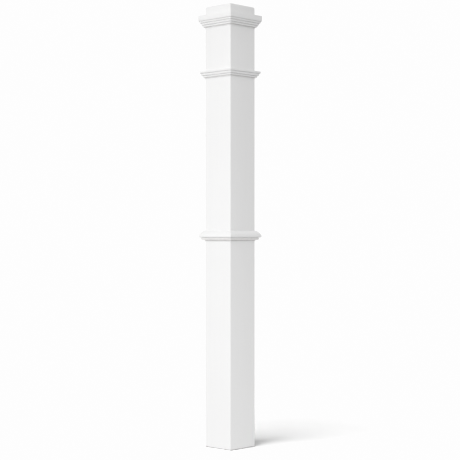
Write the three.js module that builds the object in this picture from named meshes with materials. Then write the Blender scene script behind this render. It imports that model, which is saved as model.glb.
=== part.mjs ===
// A square box newel post for a stair or landing, primed and painted white.
// Four mitred boards make the hollow shaft, a solid block caps it, and three rings of moulding run
// round it: a crown close under the cap, a small neck moulding and a round-nosed one at mid height.
// Millimetres, +Z up. The origin is the centre of the foot, and the faces are square to X and Y.
import * as THREE from 'three';

// Shaft and cap
const postHeight = 1422;
const shaftWidth = 113;
const boardThickness = 19;
const capHeight = 29;
const capEdgeRadius = 6;

// Where the rings sit: the crown ends level with the boards, right under the cap
const neckBelowCrown = 139.8;
const midAboveFloor = 665.2;

// Crown: three coved members that step out under its flat face
const crownLowerStep = 3.3;
const crownLowerRise = 5;
const crownLowerRun = 1.4;
const crownMiddleStep = 2.4;
const crownMiddleRise = 5.7;
const crownMiddleRun = 1.5;
const crownUpperStep = 2.2;
const crownUpperRise = 5;
const crownUpperRun = 1.3;
const crownFaceStep = 1.7;
const crownFaceHeight = 18;

// Neck moulding: two coved members under a narrow lip
const neckLowerStep = 2.7;
const neckLowerRise = 4.8;
const neckLowerRun = 1.9;
const neckUpperStep = 2.5;
const neckUpperRise = 6.5;
const neckUpperRun = 1.8;
const neckLipStep = 2;
const neckLipHeight = 6.9;

// Every ring starts with a small bead against the shaft, and sawn grooves part its members
const beadReach = 3.2;
const beadHeight = 1;
const beadGroove = 1.8;
const memberGroove = 1.2;
const faceGroove = 0.8;
const grooveDepth = 2.4;
const memberFillet = 2.4;

// Mid moulding: a splayed foot, a groove, a round nose and a slope back to a narrow ledge
const midFootStep = 4.9;
const midSplayRise = 7;
const midSplayRun = 3;
const midNoseStep = 2.3;
const midNoseDepth = 2.5;
const midNoseRise = 5;
const midSlopeRise = 16.8;
const midLedge = 4.5;
const midNoseFullness = 6.5;
const midSlopeStraight = 5;

const paintedWood = { color: 0xf4f3f1, roughness: 0.55, metalness: 0 };
const sideNames = ['front', 'right', 'back', 'left'];
const shaftHalf = shaftWidth / 2;
const boardHeight = postHeight - capHeight;
const arcSteps = 8;

// Outlines are drawn as (reach from the shaft's face, height above the ring's underside).

function boardOutline() {
  const outline = new THREE.Shape();
  outline.moveTo(-boardThickness, 0);
  outline.lineTo(0, 0);
  outline.lineTo(0, boardHeight);
  outline.lineTo(-boardThickness, boardHeight);
  return outline;
}

function beadOutline() {
  const outline = new THREE.Shape();
  outline.moveTo(0, 0);
  outline.lineTo(beadReach, 0);
  outline.lineTo(beadReach, beadHeight);
  return outline;
}

// A groove that goes back in from the outline's last point, and the step out over it
function cutGroove(outline, height, step) {
  const { x: reach, y: foot } = outline.currentPoint;
  outline.lineTo(reach - grooveDepth, foot);
  outline.lineTo(reach - grooveDepth, foot + height);
  outline.lineTo(reach + step, foot + height);
}

// A member: an upright fillet that turns out into a cove
function addMember(outline, rise, run) {
  const { x: reach, y: foot } = outline.currentPoint;
  const coveFoot = foot + memberFillet;
  outline.lineTo(reach, coveFoot);
  outline.absellipse(
    reach + run, coveFoot, run, rise - memberFillet, Math.PI, Math.PI / 2, true, 0,
  );
}

function closeAtWall(outline) {
  outline.lineTo(0, outline.currentPoint.y);
  return outline;
}

// Coved members that step out one above the other, under an upright face
function covedOutline(members, faceStep, faceHeight) {
  const outline = beadOutline();
  let groove = beadGroove;
  for (const { step, rise, run } of members) {
    cutGroove(outline, groove, step);
    addMember(outline, rise, run);
    groove = memberGroove;
  }
  cutGroove(outline, faceGroove, faceStep);
  const { x: reach, y: faceFoot } = outline.currentPoint;
  outline.lineTo(reach, faceFoot + faceHeight);
  return closeAtWall(outline);
}

function midOutline() {
  const outline = beadOutline();
  cutGroove(outline, beadGroove, midFootStep);
  const foot = outline.currentPoint.clone();
  outline.lineTo(foot.x + midSplayRun, foot.y + midSplayRise);
  cutGroove(outline, memberGroove, midNoseStep);
  const nose = outline.currentPoint.clone();
  const noseReach = nose.x + midNoseDepth;
  const noseHeight = nose.y + midNoseRise;
  const topHeight = noseHeight + midSlopeRise;
  outline.absellipse(nose.x, noseHeight, midNoseDepth, midNoseRise, -Math.PI / 2, 0, false, 0);
  outline.bezierCurveTo(
    noseReach, noseHeight + midNoseFullness,
    midLedge + midSlopeStraight, topHeight - midSlopeStraight,
    midLedge, topHeight,
  );
  return closeAtWall(outline);
}

// One length along the front face, its two ends running out to the 45 degree mitres
function mitredLength(outline) {
  const length = new THREE.ExtrudeGeometry(outline, {
    depth: 1,
    steps: 1,
    curveSegments: arcSteps,
    bevelEnabled: false,
  });
  const corners = length.getAttribute('position');
  for (let i = 0; i < corners.count; i += 1) {
    const out = shaftHalf + corners.getX(i);
    const along = corners.getZ(i) > 0.5 ? -out : out;
    corners.setXYZ(i, along, -out, corners.getY(i));
  }
  length.computeVertexNormals();
  return length;
}

// A square block whose upper edges are rounded: a four-sided turning, corner to corner
function cappingBlock() {
  const cornerReach = Math.SQRT2;
  const outline = [new THREE.Vector2(0, 0), new THREE.Vector2(shaftHalf * cornerReach, 0)];
  for (let i = 0; i <= arcSteps; i += 1) {
    const angle = (i / arcSteps) * (Math.PI / 2);
    const reach = shaftHalf - capEdgeRadius * (1 - Math.cos(angle));
    const height = capHeight - capEdgeRadius * (1 - Math.sin(angle));
    outline.push(new THREE.Vector2(reach * cornerReach, height));
  }
  outline.push(new THREE.Vector2(0, capHeight));
  const block = new THREE.LatheGeometry(outline, sideNames.length, Math.PI / 4);
  block.rotateX(Math.PI / 2);
  return block;
}

function outlineHeight(outline) {
  return Math.max(...outline.getPoints(arcSteps).map((point) => point.y));
}

function piece(name, geometry, height) {
  const mesh = new THREE.Mesh(geometry, new THREE.MeshStandardMaterial(paintedWood));
  mesh.name = name;
  mesh.position.z = height;
  return mesh;
}

const crownOutline = covedOutline([
  { step: crownLowerStep, rise: crownLowerRise, run: crownLowerRun },
  { step: crownMiddleStep, rise: crownMiddleRise, run: crownMiddleRun },
  { step: crownUpperStep, rise: crownUpperRise, run: crownUpperRun },
], crownFaceStep, crownFaceHeight);
const neckOutline = covedOutline([
  { step: neckLowerStep, rise: neckLowerRise, run: neckLowerRun },
  { step: neckUpperStep, rise: neckUpperRise, run: neckUpperRun },
], neckLipStep, neckLipHeight);
const crownFoot = boardHeight - outlineHeight(crownOutline);
const neckFoot = crownFoot - neckBelowCrown - outlineHeight(neckOutline);

const lengths = [
  { name: 'shaft_board', geometry: mitredLength(boardOutline()), foot: 0 },
  { name: 'crown_moulding', geometry: mitredLength(crownOutline), foot: crownFoot },
  { name: 'neck_moulding', geometry: mitredLength(neckOutline), foot: neckFoot },
  { name: 'mid_moulding', geometry: mitredLength(midOutline()), foot: midAboveFloor },
];

const newelPost = new THREE.Group();
for (const [turn, sideName] of sideNames.entries()) {
  const side = new THREE.Group();
  side.rotation.z = (turn * Math.PI) / 2;
  for (const { name, geometry, foot } of lengths) {
    side.add(piece(`${name}_${sideName}`, geometry, foot));
  }
  newelPost.add(side);
}
newelPost.add(piece('cap_block', cappingBlock(), boardHeight));

export default newelPost;
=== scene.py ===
import math

import bmesh
import bpy
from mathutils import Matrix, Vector


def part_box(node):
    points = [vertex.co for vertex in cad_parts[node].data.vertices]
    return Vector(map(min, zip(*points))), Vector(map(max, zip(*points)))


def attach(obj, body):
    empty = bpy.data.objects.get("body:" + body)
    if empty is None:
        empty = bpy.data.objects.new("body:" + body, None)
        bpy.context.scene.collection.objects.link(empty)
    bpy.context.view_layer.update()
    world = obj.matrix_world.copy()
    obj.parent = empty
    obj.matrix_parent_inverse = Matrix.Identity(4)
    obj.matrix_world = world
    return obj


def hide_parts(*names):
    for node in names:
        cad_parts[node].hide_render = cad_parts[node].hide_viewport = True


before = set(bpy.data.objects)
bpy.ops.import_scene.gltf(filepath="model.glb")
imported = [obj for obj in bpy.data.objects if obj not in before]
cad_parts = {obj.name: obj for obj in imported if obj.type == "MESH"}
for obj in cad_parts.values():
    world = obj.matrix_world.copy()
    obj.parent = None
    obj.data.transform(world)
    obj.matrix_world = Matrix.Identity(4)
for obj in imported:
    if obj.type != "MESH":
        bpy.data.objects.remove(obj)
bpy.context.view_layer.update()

shaft_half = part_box("shaft_board_front")[1].x

# Sizes are in metres
MM = 0.001
SIDES = ("front", "right", "back", "left")
SAME_POINT = 0.02 * MM        # points nearer than this are one
ON_MITRE = 0.6                # a face whose normal has more than this of +X and +Y is on a mitre

# How far sanding and paint ease the edges
ARRIS_EASE = 0.9 * MM
MITRE_EASE = 0.5 * MM
MOULDING_EASE = 0.45 * MM
BOARD_END_EASE = 1.2 * MM
EASE_SHARE = 0.45             # the most that an eased corner takes of the sides beside it
CORNER_STATIONS = 3           # sections in a mitred end's rounding, and steps in the cap block's
SHARP_CORNER = 35.0           # degrees: outline corners blunter than this are part of a curve
CREASE = 20.0                 # degrees: shading stays sharp past this

# Grooves, which take primer darkened as painted shade, and inner sides, which take bare wood
WOOD_OR_SHADE_MARK = "hidden"             # the name of the mark, 0 or 1, on each point of an outline
WOOD_OR_SHADE_SHARE = 0.4            # a face takes the other finish when its mean mark is above this
INNER_SIDE = 4 * MM           # how far behind the shaft's face a board's inner side begins
GROOVE_NEAR = 1.5 * MM        # how far from the shaft's face a groove's floor may lie
GROOVE_SPAN = 2.5 * MM        # how near above and below a groove's lips lie
GROOVE_DEPTH = 1.2 * MM
SPLAY_REACH = 5 * MM
SPLAY_TOP = 10.2 * MM         # above the mid moulding's underside

# White primer. A scale tells how many patches of noise lie in a metre
CLOUD_SCALE = 7.0
PEEL_SCALE = 620.0
GRAIN_SCALE_ALONG = 7.0
GRAIN_SCALE_ACROSS = 240.0
PEEL_DEPTH = 0.04 * MM
GRAIN_DEPTH = 0.03 * MM
PRIMER_DARK = 0.845
PRIMER_PALE = 0.87
PRIMER_ROUGHNESS = 0.5
# Dark grey at the boards' foot: painted shade where the post meets the floor
FOOT_SHADE_COLOUR = (0.30, 0.285, 0.27, 1.0)
FOOT_SHADE_HEIGHTS = (1.1 * MM, 2.4 * MM)   # painted shade in full up to the first height, none from the second

# Primer darkened as painted shade in the grooves and on the splay
GROOVE_SHADE_SCALE = 160.0
GROOVE_SHADE_DARK = (0.785, 0.775, 0.765, 1.0)
GROOVE_SHADE_PALE = (0.85, 0.842, 0.835, 1.0)
GROOVE_SHADE_ROUGHNESS = 0.7

# Bare wood
WOOD_STRETCH = 0.06           # the pattern's scale along the grain, against 1 across it
RING_SCALE = 28.0
RING_WANDER = 5.0
PORE_SCALE = 900.0
RING_DEPTH = 0.05 * MM
PORE_DEPTH = 0.1 * MM
WOOD_DARK = (0.50, 0.33, 0.18, 1.0)
WOOD_PALE = (0.68, 0.50, 0.31, 1.0)
WOOD_ROUGHNESS = 0.66

# Cap block
CAP_EDGE = 6 * MM
CAP_EDGE_STEPS = 10

# The photograph's camera, with its pixels in a frame 460 wide and high
IMAGE_SIDE = 460
CAMERA_TURN = 43.8            # degrees that the left-hand face is turned from the picture
CAMERA_DISTANCE = 4.04        # from the near corner
CAMERA_HEIGHT = 0.681
FOCAL_PIXELS = 1273.5
CORNER_COLUMN = 230.55
HORIZON_ROW = 236.0
SENSOR = 36.0                 # millimetres, as camera lenses are given

# Studio. The air's levels go with the height of the direction, from straight down to straight up
AIR_STRENGTH = 1.19
AIR_LEVELS = ((-1.0, 0.08), (-0.25, 0.10), (-0.05, 0.5), (0.08, 0.84), (0.45, 0.72), (1.0, 0.52))
PAPER_WHITE = 1.1             # brighter than the picture shows
BRIGHTEST = 0.985             # the level at which the picture holds all that is brighter
FLOOR_RADIUS = 2.7
FLOOR_SIDES = 96
FLOOR_SHADE = 0.49
FLOOR_LIT = (0.55, 1.2)       # from the first radius to the second the floor turns to even white
DOME_RADIUS = 14.0
DOME_DIVISIONS = 4
POST_MIDDLE = 0.7             # the height that the lamps are aimed at

# Lamps: degrees round from the front face, degrees up, distance, breadth and power
KEY_LAMP = (5.3, 17.0, 3.1, 2.4, 38.6)
TOP_LAMP = (186.0, 50.0, 4.0, 1.2, 14.2)       # from behind, for the ledges and the cap's edge
FLOOR_LAMP = (9.5, 57.0, 6.0, 4.8, 890.0)      # only for the floor, where it casts the shadow
BOUNCE_PLACE = (0.0, 0.0, 0.0018)              # just above the floor, shining up
BOUNCE_BREADTH = 6.0
BOUNCE_POWER = 57.8


class Socket:
    """One value in a node tree, so that sums are written as sums."""

    def __init__(self, tree, link):
        self.tree = tree
        self.link = link

    def __add__(self, other):
        return self.tree.maths("ADD", self, other)

    def __radd__(self, other):
        return self.tree.maths("ADD", other, self)

    def __sub__(self, other):
        return self.tree.maths("SUBTRACT", self, other)

    def __rsub__(self, other):
        return self.tree.maths("SUBTRACT", other, self)

    def __mul__(self, other):
        return self.tree.maths("MULTIPLY", self, other)

    def __rmul__(self, other):
        return self.tree.maths("MULTIPLY", other, self)

    def __truediv__(self, other):
        return self.tree.maths("DIVIDE", self, other)

    def __rtruediv__(self, other):
        return self.tree.maths("DIVIDE", other, self)

    def __neg__(self):
        return self.tree.maths("MULTIPLY", self, -1.0)


class Outputs:
    """A node's outputs, by number or by name."""

    def __init__(self, tree, made):
        self.tree = tree
        self.made = made

    def __getitem__(self, key):
        return Socket(self.tree, self.made.outputs[key])


class Tree:
    """A node tree, written one node at a time."""

    def __init__(self, owner):
        self.owner = owner
        self.owner.nodes.clear()

    def node(self, kind, settings=None, values=None):
        """A new node: its settings are set first, then the values or links of its sockets."""
        made = self.owner.nodes.new(kind)
        for name, value in (settings or {}).items():
            if name == "stops":
                self.set_stops(made.color_ramp, value)
            else:
                setattr(made, name, value)
        for key, value in (values or {}).items():
            if isinstance(value, Socket):
                self.owner.links.new(value.link, made.inputs[key])
            else:
                made.inputs[key].default_value = value
        return Outputs(self, made)

    def maths(self, operation, *values):
        """One step of maths on sockets and plain numbers."""
        return self.node("ShaderNodeMath", {"operation": operation}, dict(enumerate(values)))[0]

    @staticmethod
    def set_stops(ramp, stops):
        """Gives a colour ramp its places and colours."""
        while len(ramp.elements) < len(stops):
            ramp.elements.new(1.0)
        for element, (place, colour) in zip(ramp.elements, stops):
            element.position = place
            element.color = colour


def grey(level, warmth=0.0):
    """A grey, redder and less blue by the warmth given."""
    return (level * (1 + warmth), level, level * (1 - warmth), 1.0)


# Finishes

def new_material(name):
    """A material and its empty tree."""
    made = bpy.data.materials.new(name)
    made.use_nodes = True
    return made, Tree(made.node_tree)


def grain_along(axis):
    """The scales of a grain that runs along one axis."""
    return [GRAIN_SCALE_ALONG if other == axis else GRAIN_SCALE_ACROSS for other in "xyz"]


def white_primer(name, grain_scale):
    """Sprayed primer: almost white, a faint peel, the grain just telling, painted shade at the
    foot.
    """
    made, tree = new_material(name)
    place = tree.node("ShaderNodeTexCoord")["Object"]

    def noise(where, scale, detail):
        """Cloudy values from 0 to 1."""
        return tree.node(
            "ShaderNodeTexNoise", {}, {"Vector": where, "Scale": scale, "Detail": detail}
        )["Fac"]

    clouds = noise(place, CLOUD_SCALE, 3.0)
    peel = noise(place, PEEL_SCALE, 2.0)
    along = tree.node("ShaderNodeMapping", {}, {"Vector": place, "Scale": grain_scale})["Vector"]
    grain = noise(along, 1.0, 4.0)
    # Painted shade: darker in the lowest few millimetres, where the post meets the floor
    shade_blend = tree.node(
        "ShaderNodeMapRange",
        {},
        {
            "Value": tree.node("ShaderNodeSeparateXYZ", {}, {0: place})["Z"],
            "From Min": FOOT_SHADE_HEIGHTS[0],
            "From Max": FOOT_SHADE_HEIGHTS[1],
        },
    )["Result"]
    colour = tree.node(
        "ShaderNodeValToRGB",
        {
            "stops": [
                (0.0, FOOT_SHADE_COLOUR),
                (0.25, grey(PRIMER_DARK, 0.002)),
                (0.75, grey(PRIMER_PALE, 0.001)),
            ]
        },
        {"Fac": (clouds * 0.6 + grain * 0.4) * shade_blend},
    )["Color"]
    normal = tree.node(
        "ShaderNodeBump",
        {},
        {"Height": peel * PEEL_DEPTH + grain * GRAIN_DEPTH, "Strength": 0.6, "Distance": 1.0},
    )["Normal"]
    surface = tree.node(
        "ShaderNodeBsdfPrincipled",
        {},
        {
            "Base Color": colour,
            "Roughness": PRIMER_ROUGHNESS + clouds * 0.08 + peel * 0.06,
            "Specular IOR Level": 0.4,
            "Normal": normal,
        },
    )["BSDF"]
    tree.node("ShaderNodeOutputMaterial", {}, {"Surface": surface})
    return made


def primer_in_grooves():
    """Primer darkened as painted shade in narrow grooves and under the nose."""
    made, tree = new_material("primer_in_grooves")
    place = tree.node("ShaderNodeTexCoord")["Object"]
    shade_blend = tree.node(
        "ShaderNodeTexNoise", {}, {"Vector": place, "Scale": GROOVE_SHADE_SCALE, "Detail": 3.0}
    )["Fac"]
    colour = tree.node(
        "ShaderNodeValToRGB",
        {"stops": [(0.3, GROOVE_SHADE_DARK), (0.7, GROOVE_SHADE_PALE)]},
        {"Fac": shade_blend},
    )["Color"]
    surface = tree.node(
        "ShaderNodeBsdfPrincipled",
        {},
        {"Base Color": colour, "Roughness": GROOVE_SHADE_ROUGHNESS + shade_blend * 0.15},
    )["BSDF"]
    tree.node("ShaderNodeOutputMaterial", {}, {"Surface": surface})
    return made


def bare_wood():
    """Unpainted pale wood inside the hollow and on the cut foot, its growth rings running up."""
    made, tree = new_material("bare_wood")
    place = tree.node("ShaderNodeTexCoord")["Object"]
    drawn_out = tree.node(
        "ShaderNodeMapping", {}, {"Vector": place, "Scale": (1.0, 1.0, WOOD_STRETCH)}
    )["Vector"]
    rings = tree.node(
        "ShaderNodeTexWave",
        {"wave_type": "RINGS", "rings_direction": "Z"},
        {
            "Vector": drawn_out,
            "Scale": RING_SCALE,
            "Distortion": RING_WANDER,
            "Detail": 3.0,
            "Detail Scale": 2.0,
        },
    )["Fac"]
    pores = tree.node(
        "ShaderNodeTexNoise", {}, {"Vector": drawn_out, "Scale": PORE_SCALE, "Detail": 3.0}
    )["Fac"]
    colour = tree.node(
        "ShaderNodeValToRGB",
        {"stops": [(0.2, WOOD_DARK), (0.8, WOOD_PALE)]},
        {"Fac": rings * 0.7 + pores * 0.3},
    )["Color"]
    normal = tree.node(
        "ShaderNodeBump",
        {},
        {"Height": pores * PORE_DEPTH + rings * RING_DEPTH, "Strength": 0.7, "Distance": 1.0},
    )["Normal"]
    surface = tree.node(
        "ShaderNodeBsdfPrincipled",
        {},
        {"Base Color": colour, "Roughness": WOOD_ROUGHNESS + pores * 0.15, "Normal": normal},
    )["BSDF"]
    tree.node("ShaderNodeOutputMaterial", {}, {"Surface": surface})
    return made


def white_glow(tree):
    """An even white, whatever lights it."""
    return tree.node(
        "ShaderNodeEmission", {}, {"Color": grey(1.0), "Strength": PAPER_WHITE}
    )["Emission"]


def backdrop_white():
    """Paper so far off and so well lit that it is even white."""
    made, tree = new_material("backdrop_white")
    tree.node("ShaderNodeOutputMaterial", {}, {"Surface": white_glow(tree)})
    return made


def studio_paper():
    """Matt paper round the post, that turns to an even white further out."""
    made, tree = new_material("studio_paper")
    place = tree.node("ShaderNodeTexCoord")["Object"]
    reach = tree.node("ShaderNodeVectorMath", {"operation": "LENGTH"}, {0: place})["Value"]
    far = tree.node(
        "ShaderNodeMapRange",
        {"interpolation_type": "SMOOTHSTEP"},
        {"Value": reach, "From Min": FLOOR_LIT[0], "From Max": FLOOR_LIT[1]},
    )["Result"]
    matt = tree.node("ShaderNodeBsdfDiffuse", {}, {"Color": grey(FLOOR_SHADE)})["BSDF"]
    both = tree.node("ShaderNodeMixShader", {}, {0: far, 1: matt, 2: white_glow(tree)})["Shader"]
    tree.node("ShaderNodeOutputMaterial", {}, {"Surface": both})
    return made


# Mitred lengths: an outline run along one side of the square shaft, both ends cut at 45 degrees

def section_of(node_name):
    """The outline that a front length shows on its mitre, as (reach from the shaft, height)."""
    mesh = bmesh.new()
    mesh.from_mesh(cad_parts[node_name].data)
    bmesh.ops.remove_doubles(mesh, verts=mesh.verts, dist=SAME_POINT)
    mitre = [face for face in mesh.faces if min(face.normal.xy) > ON_MITRE]
    edges = [edge for face in mitre for edge in face.edges]
    rim = [edge for edge in edges if edges.count(edge) == 1]
    corner = rim[0].verts[0]
    outline = []
    while rim:
        edge = next(edge for edge in rim if corner in edge.verts)
        rim.remove(edge)
        outline.append((-corner.co.y - shaft_half, corner.co.z))
        corner = edge.other_vert(corner)
    mesh.free()
    return outline


def eased(outline, ease, ease_at_shaft):
    """The outline with its sharp corners rounded, those on the shaft's face only if asked."""
    made = []
    for before, corner, after in zip(outline[-1:] + outline, outline, outline[1:] + outline[:1]):
        here = Vector(corner)
        back = Vector(before) - here
        on = Vector(after) - here
        turning = math.pi - back.angle(on)
        at_shaft = abs(corner[0]) < SAME_POINT
        if turning < math.radians(SHARP_CORNER) or at_shaft and not ease_at_shaft:
            made.append(corner)
            continue
        cut = min(ease, EASE_SHARE * back.length, EASE_SHARE * on.length)
        start = here + back.normalized() * cut
        end = here + on.normalized() * cut
        middle = (start + end + 2 * here) / 4
        made += [tuple(start), tuple(middle), tuple(end)]
    return made


def is_behind(point, outline):
    """Whether a board's point lies on its unpainted inner side."""
    return point[0] < -INNER_SIDE


def is_in_groove(point, outline):
    """Whether a point lies inside a groove close to the shaft, with a lip above and below."""
    reach, height = point
    above = max(r for r, h in outline if 0 <= h - height < GROOVE_SPAN)
    below = max(r for r, h in outline if 0 <= height - h < GROOVE_SPAN)
    return SAME_POINT < reach < GROOVE_NEAR and min(above, below) > reach + GROOVE_DEPTH


def is_under_nose(point, outline):
    """Whether a point of the mid moulding lies in a groove or on the splay below its nose."""
    reach, height = point
    foot = min(h for r, h in outline)
    return is_in_groove(point, outline) or reach > SPLAY_REACH and height < foot + SPLAY_TOP


def mitred_length_tree():
    """Sweeps an outline along the front side, cuts both ends at 45 degrees and turns it round."""
    owner = bpy.data.node_groups.new("mitred_length", "GeometryNodeTree")
    for name, kind in (
        ("Outline", "NodeSocketGeometry"),
        ("Shaft Half", "NodeSocketFloat"),
        ("Mitre Ease", "NodeSocketFloat"),
        ("Corner Stations", "NodeSocketInt"),
        ("Turn", "NodeSocketFloat"),
        ("Finish", "NodeSocketMaterial"),
        ("Hidden Finish", "NodeSocketMaterial"),
    ):
        owner.interface.new_socket(name, in_out="INPUT", socket_type=kind)
    owner.interface.new_socket("Length", in_out="OUTPUT", socket_type="NodeSocketGeometry")
    tree = Tree(owner)
    given = tree.node("NodeGroupInput")
    stations = given["Corner Stations"] * 2.0
    path = tree.node("GeometryNodeCurvePrimitiveLine", {}, {"Start": (-1, 0, 0), "End": (1, 0, 0)})
    stepped = tree.node("GeometryNodeResampleCurve", {}, {"Curve": path[0], "Count": stations})
    outline = tree.node("GeometryNodeMeshToCurve", {}, {"Mesh": given["Outline"]})
    run = tree.node(
        "GeometryNodeCurveToMesh",
        {},
        {"Curve": stepped[0], "Profile Curve": outline[0], "Fill Caps": True},
    )
    swept = tree.node("ShaderNodeSeparateXYZ", {}, {0: tree.node("GeometryNodeInputPosition")[0]})
    station = swept["X"]
    out = given["Shaft Half"] - swept["Y"]
    height = -swept["Z"]
    first_station = 1.0 / (stations - 1.0)
    corner_angle = tree.node(
        "ShaderNodeMapRange",
        {},
        {
            "Value": tree.maths("ABSOLUTE", station),
            "From Min": first_station,
            "From Max": 1.0,
            "To Min": 0.0,
            "To Max": math.pi / 4,
        },
    )["Result"]
    ease = given["Mitre Ease"]
    along = out - ease * (1.0 - tree.maths("SINE", corner_angle))
    forward = out - ease * (1.0 - tree.maths("COSINE", corner_angle))
    spread = tree.node(
        "ShaderNodeCombineXYZ",
        {},
        {"X": along * tree.maths("SIGN", station), "Y": -forward, "Z": height},
    )["Vector"]
    turned = tree.node(
        "ShaderNodeVectorRotate",
        {"rotation_type": "Z_AXIS"},
        {"Vector": spread, "Angle": given["Turn"]},
    )["Vector"]
    placed = tree.node("GeometryNodeSetPosition", {}, {"Geometry": run[0], "Position": turned})
    whole = tree.node("GeometryNodeRealizeInstances", {}, {"Geometry": placed[0]})
    painted = tree.node(
        "GeometryNodeSetMaterial", {}, {"Geometry": whole[0], "Material": given["Finish"]}
    )
    # Marked faces take bare wood on inner sides, and primer darkened as painted shade in grooves
    hidden = tree.node("GeometryNodeInputNamedAttribute", {}, {"Name": WOOD_OR_SHADE_MARK})["Attribute"]
    finished = tree.node(
        "GeometryNodeSetMaterial",
        {},
        {
            "Geometry": painted[0],
            "Selection": tree.maths("GREATER_THAN", hidden, WOOD_OR_SHADE_SHARE),
            "Material": given["Hidden Finish"],
        },
    )
    tree.node("NodeGroupOutput", {}, {"Length": finished[0]})
    return owner


def run_tree(name, host_mesh, tree, values):
    """The plain mesh that the tree makes of the host mesh."""
    host = bpy.data.objects.new(name + "_host", host_mesh)
    bpy.context.scene.collection.objects.link(host)
    modifier = host.modifiers.new(tree.name, "NODES")
    modifier.node_group = tree
    names = {item.name: item.identifier for item in tree.interface.items_tree}
    for key, value in values.items():
        modifier[names[key]] = value
    depsgraph = bpy.context.evaluated_depsgraph_get()
    mesh = bpy.data.meshes.new_from_object(host.evaluated_get(depsgraph))
    host.modifiers.clear()
    bpy.data.objects.remove(host)
    mesh.name = name
    return mesh


def finish_piece(name, mesh, node):
    """Turns faces outwards, keeps edges crisp, and lets the piece stand for its solid."""
    shape = bmesh.new()
    shape.from_mesh(mesh)
    bmesh.ops.recalc_face_normals(shape, faces=shape.faces)
    shape.to_mesh(mesh)
    shape.free()
    mesh.polygons.foreach_set("use_smooth", [True] * len(mesh.polygons))
    mesh.set_sharp_from_angle(angle=math.radians(CREASE))
    piece = bpy.data.objects.new(name, mesh)
    bpy.context.scene.collection.objects.link(piece)
    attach(piece, "root")
    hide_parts(node)
    return piece


def mitred_length(node, side, outline, mitre_ease, finish, wood_or_shade_finish, gets_wood_or_shade):
    """One length on one side, with its second finish, bare wood or primer darkened as painted
    shade, where the given test says so.
    """
    host_mesh = bpy.data.meshes.new(node)
    count = len(outline)
    host_mesh.from_pydata(
        [(reach, height, 0.0) for reach, height in outline],
        [(i, (i + 1) % count) for i in range(count)],
        [],
    )
    marks = host_mesh.attributes.new(WOOD_OR_SHADE_MARK, "FLOAT", "POINT")
    marks.data.foreach_set("value", [float(gets_wood_or_shade(point, outline)) for point in outline])
    mesh = run_tree(node, host_mesh, length_tree, {
        "Shaft Half": shaft_half,
        "Mitre Ease": mitre_ease,
        "Corner Stations": CORNER_STATIONS,
        "Turn": math.pi / 2 * SIDES.index(side),
        "Finish": finish,
        "Hidden Finish": wood_or_shade_finish,
    })
    return finish_piece("painted_" + node, mesh, node)


def square_ring(half, ease, height):
    """A square with eased corners, going round once."""
    points = []
    for quarter in range(4):
        for step in range(CORNER_STATIONS + 1):
            angle = math.pi / 2 * (quarter + step / CORNER_STATIONS)
            middle = math.pi / 2 * quarter + math.pi / 4
            x = (half - ease) * math.copysign(1, math.cos(middle)) + ease * math.cos(angle)
            y = (half - ease) * math.copysign(1, math.sin(middle)) + ease * math.sin(angle)
            points.append((x, y, height))
    return points


def cap_block(finish):
    """The square block on top, with a quarter round along its upper edges."""
    low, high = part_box("cap_block")
    rings = [square_ring(high.x, ARRIS_EASE, low.z)]
    for step in range(CAP_EDGE_STEPS + 1):
        angle = math.pi / 2 * step / CAP_EDGE_STEPS
        half = high.x - CAP_EDGE * (1 - math.cos(angle))
        rings.append(square_ring(half, ARRIS_EASE, high.z - CAP_EDGE * (1 - math.sin(angle))))
    count = len(rings[0])
    faces = [tuple(range(count)), tuple(range(count * (len(rings) - 1), count * len(rings)))]
    for level in range(len(rings) - 1):
        for i in range(count):
            here = level * count + i
            beside = level * count + (i + 1) % count
            faces.append((here, beside, beside + count, here + count))
    mesh = bpy.data.meshes.new("cap_block")
    mesh.from_pydata([point for ring in rings for point in ring], [], faces)
    mesh.materials.append(finish)
    return finish_piece("painted_cap_block", mesh, "cap_block")


# Studio

def stage_piece(name, shape, finish):
    """An object of the stage, made of a shape that is freed here."""
    mesh = bpy.data.meshes.new(name)
    shape.to_mesh(mesh)
    shape.free()
    mesh.materials.append(finish)
    made = bpy.data.objects.new(name, mesh)
    bpy.context.scene.collection.objects.link(made)
    return made


def hide_from_light(thing):
    """Leaves a thing to the camera alone: it lights nothing and casts no shadow."""
    thing.visible_diffuse = False
    thing.visible_glossy = False
    thing.visible_transmission = False
    thing.visible_shadow = False


def studio_floor():
    """The round sheet of paper that the post stands on."""
    shape = bmesh.new()
    bmesh.ops.create_circle(shape, cap_ends=True, segments=FLOOR_SIDES, radius=FLOOR_RADIUS)
    sheet = stage_piece("floor", shape, studio_paper())
    hide_from_light(sheet)
    return sheet


def backdrop():
    """A white surround, seen from inside."""
    shape = bmesh.new()
    bmesh.ops.create_icosphere(shape, subdivisions=DOME_DIVISIONS, radius=DOME_RADIUS)
    bmesh.ops.reverse_faces(shape, faces=shape.faces)
    dome = stage_piece("backdrop", shape, backdrop_white())
    hide_from_light(dome)


def turned_way(turn, rise):
    """A unit vector from the post, turned round from the front face and raised from the level."""
    turned = math.radians(turn)
    raised = math.radians(rise)
    level = math.cos(raised)
    return Vector((math.sin(turned) * level, -math.cos(turned) * level, math.sin(raised)))


def lamp(name, place, way, breadth, power):
    """A round lamp at a place, that shines back along the way that leads to it."""
    light = bpy.data.lights.new(name, "AREA")
    light.shape = "DISK"
    light.size = breadth
    light.energy = power
    made = bpy.data.objects.new(name, light)
    bpy.context.scene.collection.objects.link(made)
    made.location = place
    made.rotation_mode = "QUATERNION"
    made.rotation_quaternion = (-way).to_track_quat("-Z", "Y")
    made.visible_camera = False
    return made


def studio_lamp(name, turn, rise, distance, breadth, power):
    """A lamp that shines at the middle of the post."""
    way = turned_way(turn, rise)
    return lamp(name, Vector((0, 0, POST_MIDDLE)) + way * distance, way, breadth, power)


def shine_only_on(light, receiver):
    """Keeps a lamp's light to one object."""
    chosen = bpy.data.collections.new(light.name + "_receivers")
    chosen.objects.link(receiver)
    light.light_linking.receiver_collection = chosen


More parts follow.
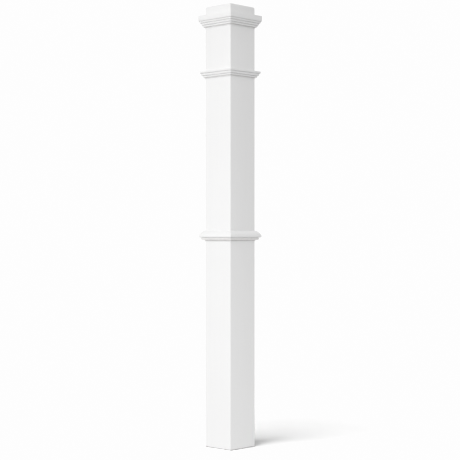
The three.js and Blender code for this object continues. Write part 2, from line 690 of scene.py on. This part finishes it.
def studio_air():
    """Light from all round, brighter from above than from below."""
    world = bpy.data.worlds.new("studio_air")
    world.use_nodes = True
    tree = Tree(world.node_tree)
    way = tree.node("ShaderNodeTexCoord")["Generated"]
    rise = tree.node("ShaderNodeSeparateXYZ", {}, {0: way})["Z"]
    levels = [((height + 1) / 2, grey(level)) for height, level in AIR_LEVELS]
    colour = tree.node("ShaderNodeValToRGB", {"stops": levels}, {"Fac": rise * 0.5 + 0.5})["Color"]
    air = tree.node("ShaderNodeBackground", {}, {"Color": colour, "Strength": AIR_STRENGTH})
    tree.node("ShaderNodeOutputWorld", {}, {"Surface": air["Background"]})
    bpy.context.scene.world = world


def camera():
    """The photograph's viewpoint: level, and turned to the near corner."""
    lens = bpy.data.cameras.new("camera")
    lens.sensor_width = SENSOR
    lens.lens = FOCAL_PIXELS / IMAGE_SIDE * SENSOR
    lens.shift_x = (IMAGE_SIDE / 2 - CORNER_COLUMN) / IMAGE_SIDE
    lens.shift_y = (HORIZON_ROW - IMAGE_SIDE / 2) / IMAGE_SIDE
    made = bpy.data.objects.new("camera", lens)
    bpy.context.scene.collection.objects.link(made)
    way = turned_way(CAMERA_TURN, 0)
    near_corner = Vector((shaft_half, -shaft_half, CAMERA_HEIGHT))
    made.location = near_corner + way * CAMERA_DISTANCE
    made.rotation_mode = "QUATERNION"
    made.rotation_quaternion = (-way).to_track_quat("-Z", "Y")
    bpy.context.scene.camera = made


def develop():
    """Plain levels, the brightest held just under white as the photograph holds its paper."""
    view = bpy.context.scene.view_settings
    view.view_transform = "Standard"
    view.look = "None"
    view.use_curve_mapping = True
    levels = view.curve_mapping
    levels.extend = "HORIZONTAL"
    levels.curves[3].points[1].location = (1.0, BRIGHTEST)
    levels.update()


camera()
primer_upright = white_primer("primer_on_upright_grain", grain_along("z"))
primer_across = white_primer("primer_on_cross_grain", grain_along("x"))
primer_away = white_primer("primer_on_grain_away", grain_along("y"))
# Primer darkened as painted shade, for the grooves and the mid moulding's splay
painted_shade_primer = primer_in_grooves()
wood = bare_wood()
length_tree = mitred_length_tree()

cap_block(primer_across)
board_outline = eased(section_of("shaft_board_front"), BOARD_END_EASE, ease_at_shaft=True)
for side in SIDES:
    mitred_length(
        "shaft_board_" + side, side, board_outline, ARRIS_EASE, primer_upright, wood, is_behind
    )
# The grooves, and the mid moulding's splay, take primer darkened as painted shade
for ring, takes_painted_shade in (
    ("crown_moulding", is_in_groove),
    ("neck_moulding", is_in_groove),
    ("mid_moulding", is_under_nose),
):
    ring_outline = eased(section_of(ring + "_front"), MOULDING_EASE, ease_at_shaft=False)
    for side in SIDES:
        primer = primer_across if side in ("front", "back") else primer_away
        mitred_length(
            ring + "_" + side, side, ring_outline, MITRE_EASE, primer, painted_shade_primer, takes_painted_shade
        )

floor = studio_floor()
backdrop()
studio_lamp("key_lamp", *KEY_LAMP)
studio_lamp("top_lamp", *TOP_LAMP)
shine_only_on(studio_lamp("floor_lamp", *FLOOR_LAMP), floor)
lamp("bounce_lamp", BOUNCE_PLACE, Vector((0, 0, -1)), BOUNCE_BREADTH, BOUNCE_POWER)
studio_air()
develop()
